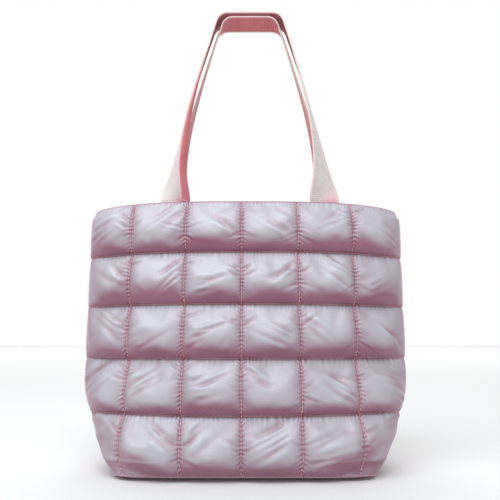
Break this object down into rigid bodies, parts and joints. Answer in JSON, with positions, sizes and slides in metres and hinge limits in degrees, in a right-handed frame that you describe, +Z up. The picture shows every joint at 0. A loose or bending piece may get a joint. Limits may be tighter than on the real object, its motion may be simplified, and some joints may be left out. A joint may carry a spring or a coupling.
{
  "type": "skate bag",
  "caption": "Soft quilted tote bag for skates with an open mouth, boxed bottom, snap closure and two webbing carry handles.",
  "frame": {"origin": "centre of the bounding box at its base, on the underside of the bottom panel", "axes": "+Z up, front panel faces -Y, +X to the right of someone looking at the front"},
  "size_m": [0.4184, 0.1474, 0.6344],
  "materials": {
    "shell_cloth": "satin",
    "wadding": "matte",
    "lining_cloth": "matte",
    "webbing": "ribbed",
    "snap_metal": "satin"
  },
  "bodies": {
    "bag": {"front_shell": "shell_cloth", "front_wadding": "wadding", "front_lining": "lining_cloth", "back_shell": "shell_cloth", "back_wadding": "wadding", "back_lining": "lining_cloth", "bottom_shell": "shell_cloth", "bottom_wadding": "wadding", "bottom_lining": "lining_cloth", "front_facing": "lining_cloth", "front_left_webbing_end": "webbing", "front_right_webbing_end": "webbing", "front_snap_washer": "snap_metal", "back_facing": "lining_cloth", "back_left_webbing_end": "webbing", "back_right_webbing_end": "webbing", "back_snap_washer": "snap_metal", "front_snap_stud": "snap_metal", "back_snap_socket": "snap_metal", "slip_pocket": "lining_cloth"},
    "front_handle": {"front_handle": "webbing"},
    "back_handle": {"back_handle": "webbing"}
  },
  "joints": [
    {"name": "front_handle_fold", "type": "hinge", "parent": "bag", "child": "front_handle", "pos_m": [0, -0.03104, 0.3447], "axis": [1, 0, 0], "range_deg": [0, 75]},
    {"name": "back_handle_fold", "type": "hinge", "parent": "bag", "child": "back_handle", "pos_m": [0, 0.0303, 0.3447], "axis": [-1, 0, 0], "range_deg": [0, 75]}
  ]
}
